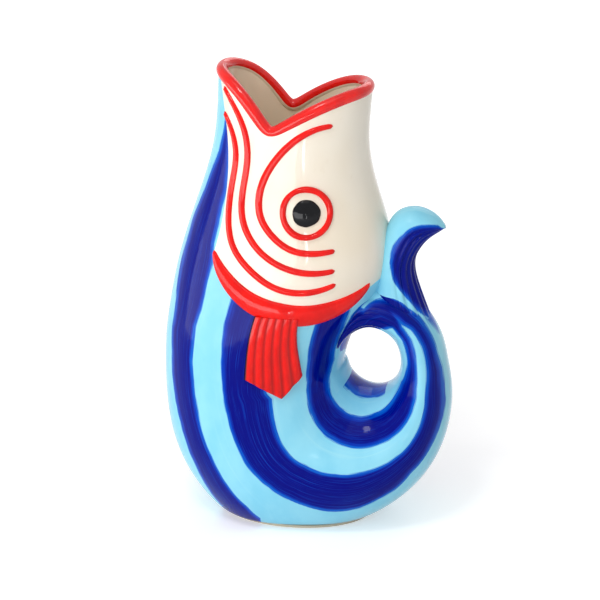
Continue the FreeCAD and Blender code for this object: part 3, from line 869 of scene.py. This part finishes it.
def make_flukes():
    end, top = OUTSIDE.places[-1], UPPER.places[-1]
    lower = fluke_shape(
        OUTSIDE, TAIL_END, end, LOWER_FLUKE_GRID, paint_of_curl, dome=0.6, count=12, reach=-1.5,
        depth_at=lambda t: LOWER_GROOVE_DEPTH * fade(t, TAIL_END, 14.0, end - 4.0, 16.0))
    piece("Lower_fluke", lower, FLUKE_GLAZE, "fluke", "lower_fluke")
    upper = fluke_shape(
        UPPER, 0.0, top, UPPER_FLUKE_GRID, paint_of_upper, dome=1.2, count=18, reach=0.02,
        depth_at=lambda t: UPPER_GROOVE_DEPTH * fade(t, 4.0, 24.0, top - 3.0, 18.0))
    piece("Upper_fluke", upper, FLUKE_GLAZE, "fluke", "upper_fluke")


def on_skin(target, x, z):
    """Feet of the perpendiculars of a grid of targets, and normals there. x and z start the search."""
    t, angle = OUTSIDE.on_side(x.ravel(), z.ravel())
    t, angle = OUTSIDE.nearest(target.reshape(-1, 3), t, angle)
    point, normal = OUTSIDE.at(t, angle)
    return point.reshape(target.shape), normal.reshape(target.shape)


def bead_points(foot, normal, rise, down):
    """Points over and under the wall. down is 0 to -1, and -1 is the lower side's middle."""
    return foot + normal * (rise + RELIEF_SINK * down - RELIEF_DIP)[..., None]


def tube_faces(rows, columns, closed_row=False):
    faces = grid_faces(rows, columns, True)
    last = (rows - 1) * columns
    if closed_row:
        faces += [(last + k, k, (k + 1) % columns, last + (k + 1) % columns) for k in range(columns)]
    else:
        faces += [tuple(range(columns)), tuple(last + k for k in reversed(range(columns)))]
    return faces


def profile(columns, crown):
    """Across and up shares round a low bead. The lower side sinks into the wall."""
    turn = TAU * np.arange(columns) / columns
    up = np.sin(turn)
    return np.cos(turn), np.where(up > 0.0, np.abs(up) ** crown, 0.0), np.where(up < 0.0, up, 0.0)


def ridge_shape(centre_line, height, crown=1.0, columns=24, step=1.2):
    """Raised line that lies on the curl and tapers at its ends."""
    line = through(centre_line)
    count = int(line.places[-1] / step) + 2
    ends = 0.5 - 0.5 * np.cos(math.pi * np.linspace(0.0, 1.0, count))
    place = line.places[-1] * (0.3 * ends + 0.7 * np.linspace(0.0, 1.0, count))
    rows, _ = line.at(place)
    half = rows[:, 2]
    near_end = np.minimum(place, line.places[-1] - place) / 2.4
    half = half * np.sqrt(np.clip(1.0 - (1.0 - unit(near_end)) ** 2, 0.002, 1.0))
    t, angle = OUTSIDE.on_side(rows[:, 0], rows[:, 1])
    centre, out = OUTSIDE.at(t, angle)
    across = direction(np.cross(np.gradient(centre, axis=0), out))
    sideways, up, down = profile(columns, crown)
    target = centre[:, None] + across[:, None] * (half[:, None] * sideways)[..., None]
    foot, normal = on_skin(target, *(np.repeat(rows[:, k:k + 1], columns, 1) for k in (0, 1)))
    widest = max(width for x, z, width in centre_line)
    rise = height * unit(half / widest + 0.2) * np.clip(near_end * 1.5, 0.05, 1.0)
    points = bead_points(foot, normal, rise[:, None] * up, down)
    return Shape(points.reshape(-1, 3), tube_faces(count, columns)).flipped()


def disc_on_skin(radius, turn):
    """Feet and normals of the points at each radius and turn round the eye."""
    (centre,), (out,) = OUTSIDE.at(*OUTSIDE.on_side(EYE[0], EYE[1]))
    side = direction(np.cross(np.array([0.0, 0.0, 1.0]), out))
    up = np.cross(out, side)
    target = centre + side * (radius * np.cos(turn))[..., None] + up * (radius * np.sin(turn))[..., None]
    return on_skin(target, target[..., 0], target[..., 2])


def make_eye():
    """The ring and the pupil, whose radius wavers as a brush's does."""
    turns, columns = EYE_RING_GRID
    turn = TAU * np.arange(turns)[:, None] / turns
    sideways, rise, down = profile(columns, 0.9)
    half = EYE_RING_WIDTH / 2 * (1.0 + 0.06 * np.sin(2 * turn + 0.6) + 0.05 * np.sin(5 * turn))
    radius = EYE_RADIUS - EYE_RING_WIDTH / 2 + 0.15 * np.sin(3 * turn + 1.0) - half * sideways
    foot, normal = disc_on_skin(radius, turn)
    points = bead_points(foot, normal, EYE_RING_HEIGHT * rise, down)
    ring = Shape(points.reshape(-1, 3), tube_faces(turns, columns, closed_row=True))
    both_sides("Eye_ring", ring, RED, "red", "eye_ring")

    rows, columns = PUPIL_GRID
    turn = TAU * np.arange(columns)[None] / columns
    share = np.sin(np.linspace(0.02, 1.0, rows) * math.pi / 2)[:, None]
    waver = 0.022 * np.sin(2 * turn + 1.0), 0.016 * np.sin(3 * turn + 2.1), 0.01 * np.sin(7 * turn)
    edge = PUPIL_RADIUS * (1.0 + waver[0] + waver[1] + waver[2])
    foot, normal = disc_on_skin(edge * share, turn)
    height = PUPIL_HEIGHT * np.sqrt(1.0 - share ** 2) ** 0.9
    top = foot + normal * (height - RELIEF_DIP)[..., None]
    bottom = foot[-1:] - normal[-1:] * RELIEF_SINK
    points = np.concatenate([top, bottom]).reshape(-1, 3)
    faces = grid_faces(rows + 1, columns, True)
    faces += [tuple(reversed(range(columns))), tuple(rows * columns + k for k in range(columns))]
    both_sides("Eye_pupil", Shape(points, faces), BLACK, "black", "eye_pupil")


def make_reliefs():
    for name, centre_line in CHEEK_LINES.items():
        line = ridge_shape(centre_line, CHEEK_LINE_HEIGHT)
        both_sides("Cheek_line_" + name, line, RED, "red", "cheek_line_" + name)
    band = ridge_shape(GILL_BAND, GILL_BAND_HEIGHT, crown=0.8, columns=40)
    both_sides("Gill_band", band, RED, "red", "gill_band")


def make_fins():
    rows, columns = FIN_GRID
    u = np.linspace(0.0, 1.0, rows)[:, None]
    v = np.linspace(0.0, 1.0, columns)[None]

    def along_edge(points, end):
        edge = through(points + [end])
        place, _ = edge.at(u[:, 0] * edge.places[-2])
        return place[:, None]

    one, other = along_edge(FIN_FRONT_EDGE, FIN_FRONT_END), along_edge(FIN_BACK_EDGE, FIN_BACK_END)
    rim = np.where(v < FIN_POINT_SHARE, v / FIN_POINT_SHARE, (1.0 - v) / (1.0 - FIN_POINT_SHARE))
    flat = one * (1.0 - v[..., None]) + other * v[..., None]
    x = flat[..., 0] - FIN_FRONT_OUT * unit(1.0 - v * FIN_WIDTH / FIN_SHOULDER)
    z = flat[..., 1] - FIN_POINT_DROP * rim * u ** 1.6
    t, angle = OUTSIDE.on_side(x.ravel(), z.ravel())
    foot, normal = OUTSIDE.at(t, angle)
    foot, normal = foot.reshape(rows, columns, 3), normal.reshape(rows, columns, 3)
    edge = np.minimum(np.minimum(v, 1.0 - v) * FIN_WIDTH, (1.0 - u) * FIN_LENGTH) / FIN_SHOULDER
    shoulder = np.sqrt(unit(1.0 - (1.0 - unit(edge)) ** 2))
    wave = 0.5 - 0.5 * np.cos(TAU * v * FIN_GROOVES + 0.5 * np.sin(3.0 * u))
    # crest is high on the ridges and low in the grooves; it shapes the grooves and carries their painted
    # shade to the glaze.
    crest = wave ** 0.6 * np.ones_like(u)
    # The crest attribute is -1 along the front edge, for the dark line that is a painted outline and partly
    # painted contact shadow.
    outline_and_shadow = unit((v * FIN_WIDTH - FIN_OUTLINE_AND_SHADOW) / FIN_OUTLINE_AND_SHADOW_BLUR)
    height = FIN_HEIGHT * (0.12 + 0.88 * shoulder) - FIN_GROOVE_DEPTH * (1.0 - crest) * shoulder
    top = foot + normal * height[..., None]
    bottom = foot - normal * RELIEF_SINK
    points = np.concatenate([top.reshape(-1, 3), bottom.reshape(-1, 3)])
    faces = grid_faces(rows, columns, False)
    base = rows * columns
    faces += [tuple(base + k for k in reversed(face)) for face in grid_faces(rows, columns, False)]
    grid = np.arange(base).reshape(rows, columns)
    rim_loop = [int(k) for k in (*grid[0], *grid[1:, -1], *grid[-1, -2::-1], *grid[-2:0:-1, 0])]
    for a, b in zip(rim_loop, rim_loop[1:] + rim_loop[:1]):
        faces.append((a, b, base + b, base + a))
    shape = Shape(points, faces, crest=np.tile((crest * outline_and_shadow - (1.0 - outline_and_shadow)).ravel(), 2))
    both_sides("Pectoral_fin", shape, RED_FIN, "red", "pectoral_fin")


def wall_middle(z):
    (high, *above), (low, *below) = LEVELS[0], LEVELS[1]
    chest, back, half_width = [b + (a - b) * (z - low) / (high - low) for a, b in zip(above, below)]
    return (chest + back) / 2, (back - chest) / 2 - WALL / 2, half_width - WALL / 2


def make_lip():
    points = []
    for x, z in LIP_LINE:
        middle, half_length, half_width = wall_middle(z)
        share = max(-1.0, min(1.0, (x - middle) / half_length))
        points.append((middle + half_length * share, -half_width * math.sqrt(1.0 - share * share), z))
    points = np.array(points)
    line = through(np.concatenate([points[3:0:-1] * MIRROR, points, points[-2:-5:-1] * MIRROR]))
    start, end = line.places[3], line.places[3 + len(points) - 1]
    count, columns = LIP_HALF_GRID
    half, way = line.at(np.linspace(start, end, count))
    half[[0, -1], 1] = 0.0
    centre = np.concatenate([half, half[-2:0:-1] * MIRROR])
    way = np.concatenate([way, -way[-2:0:-1] * MIRROR])
    rows = len(centre)
    out = np.zeros_like(centre)
    for k, point in enumerate(centre):
        middle, half_length, half_width = wall_middle(point[2])
        out[k] = (point[0] - middle) / half_length ** 2, point[1] / half_width ** 2, 0.0
    up = direction(np.cross(way, out))
    out = direction(np.cross(up, way))
    turn = TAU * np.arange(columns) / columns
    bead = up[:, None] * (LIP_HALF_HEIGHT * np.cos(turn))[None, :, None]
    bead = bead + out[:, None] * (LIP_HALF_THICKNESS * np.sin(turn))[None, :, None]
    lower_side = unit(0.5 + 2.0 * (np.cos(turn) - 0.25))
    lining = np.tile(np.where(np.sin(turn) < 0.2, lower_side, 0.0), rows)  # on the lower inner side
    points = (centre[:, None] + bead).reshape(-1, 3)
    lip = Shape(points, tube_faces(rows, columns, closed_row=True), lining=lining)
    piece("Mouth_lip", lip, RED_LIP, "red", "mouth_lip")


make_trunk()
make_flukes()
make_reliefs()
make_eye()
make_fins()
make_lip()
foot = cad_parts["foot_ring"]
for slot in foot.material_slots:
    slot.material = CLAY


# ---- floor, light and camera ----
TARGET = Vector((-1.0, 0.0, 146.0)) * MM
AZIMUTH, ELEVATION = math.radians(11.0), math.radians(20.0)
DISTANCE = 1.3
LENS = 126.36
PICTURE_WIDTH = 600.0
SHIFT_PIXELS = (-7.0, -9.0)
RIGHT = Vector((math.cos(AZIMUTH), math.sin(AZIMUTH), 0.0))
LEVEL_SHARE = math.cos(ELEVATION)
AHEAD = Vector((-math.sin(AZIMUTH) * LEVEL_SHARE, math.cos(AZIMUTH) * LEVEL_SHARE, -math.sin(ELEVATION)))

FLOOR_REACH = 6.0
FLOOR_WHITE = 0.86
FLOOR_GLOW = 0.44  # what the floor adds to itself, as the camera and the glaze see it,
FAR_GLOW = 0.4  # and what it adds to that from FAR[1] metres out
FAR = (0.15, 1.3)
WORLD_LEVELS = (0.44, 1.0)  # on what it lights, and as the camera and the glaze see it
LIT_PLACE = (0.0, 0.0, 0.17)
# Azimuth and elevation from the camera's side, distance, width and height, and power.
SOFTBOXES = {
    "near": (-28.0, -1.5, 1.1, (0.98, 0.27), 4.4),
    "far": (-76.0, -1.5, 1.1, (0.98, 0.27), 3.1),
    "top": (-10.0, 66.0, 1.3, (0.9, 0.9), 2.4),
    "key": (-26.0, 60.0, 1.3, (0.24, 0.24), 3.2),
    "strip": (4.8, -2.0, 1.25, (0.035, 0.17), 0.5),
    "back": (160.0, 35.0, 1.4, (0.8, 0.6), 2.4),
}


def make_floor():
    mesh = bpy.data.meshes.new("Floor")
    corners = [(x * FLOOR_REACH, y * FLOOR_REACH, 0.0) for x, y in ((-1, -1), (1, -1), (1, 1), (-1, 1))]
    mesh.from_pydata(corners, [], [(0, 1, 2, 3)])
    floor = add("Floor", mesh)
    shader = Shader("floor_white")
    white = (FLOOR_WHITE, FLOOR_WHITE, FLOOR_WHITE, 1.0)
    put(shader.surface, Roughness=0.9, Specular_IOR_Level=0.0, Base_Color=white)
    glow = shader.node("ShaderNodeEmission")
    rays = shader.node("ShaderNodeLightPath").outputs
    seen = shader.math("MAXIMUM", rays["Is Camera Ray"], rays["Is Glossy Ray"])
    away = shader.node("ShaderNodeVectorMath", operation="LENGTH")
    shader.link(shader.node("ShaderNodeTexCoord").outputs["Object"], away.inputs[0])
    level = shader.plus(FLOOR_GLOW, shader.times(shader.step(away.outputs["Value"], *FAR), FAR_GLOW))
    shader.link(shader.times(seen, level), glow.inputs["Strength"])
    both = shader.node("ShaderNodeAddShader")
    shader.link(shader.surface.outputs[0], both.inputs[0])
    shader.link(glow.outputs[0], both.inputs[1])
    shader.link(both.outputs[0], shader.output.inputs["Surface"])
    mesh.materials.append(shader.material)


def softbox(name, azimuth, elevation, distance, size, power):
    """Light round the jug, by its angle from the camera's side."""
    turn, rise = AZIMUTH + math.radians(azimuth), math.radians(elevation)
    flat = distance * math.cos(rise)
    high = LIT_PLACE[2] + distance * math.sin(rise)
    place = Vector((math.sin(turn) * flat, -math.cos(turn) * flat, high))
    light = bpy.data.lights.new(name, "AREA")
    light.shape = "RECTANGLE"
    light.size, light.size_y = size
    light.energy = power
    made = add(name, light)
    made.location = place
    made.rotation_euler = (Vector(LIT_PLACE) - place).to_track_quat("-Z", "Y").to_euler()
    made.visible_camera = False


def make_light():
    world = bpy.data.worlds.new("Studio")
    world.use_nodes = True
    tree = world.node_tree
    background = tree.nodes["Background"]
    put(background, Color=(1.0, 1.0, 1.0, 1.0))
    rays = tree.nodes.new("ShaderNodeLightPath").outputs
    seen = tree.nodes.new("ShaderNodeMath")
    seen.operation = "MAXIMUM"
    tree.links.new(rays["Is Camera Ray"], seen.inputs[0])
    tree.links.new(rays["Is Glossy Ray"], seen.inputs[1])
    level = tree.nodes.new("ShaderNodeMapRange")
    put(level, To_Min=WORLD_LEVELS[0], To_Max=WORLD_LEVELS[1])
    tree.links.new(seen.outputs[0], level.inputs["Value"])
    tree.links.new(level.outputs["Result"], background.inputs["Strength"])
    bpy.context.scene.world = world
    for name, settings in SOFTBOXES.items():
        softbox("Softbox_" + name, *settings)


def make_camera():
    camera = bpy.data.cameras.new("Camera")
    camera.sensor_width = 36.0
    camera.lens = LENS
    camera.shift_x, camera.shift_y = (pixels / PICTURE_WIDTH for pixels in SHIFT_PIXELS)
    made = add("Camera", camera)
    turned = Matrix((RIGHT, RIGHT.cross(AHEAD), -AHEAD)).transposed().to_4x4()
    made.matrix_world = Matrix.Translation(TARGET - AHEAD * DISTANCE) @ turned
    bpy.context.scene.camera = made


make_floor()
make_light()
make_camera()
bpy.context.scene.view_settings.view_transform = "Standard"

bpy.context.view_layer.update()
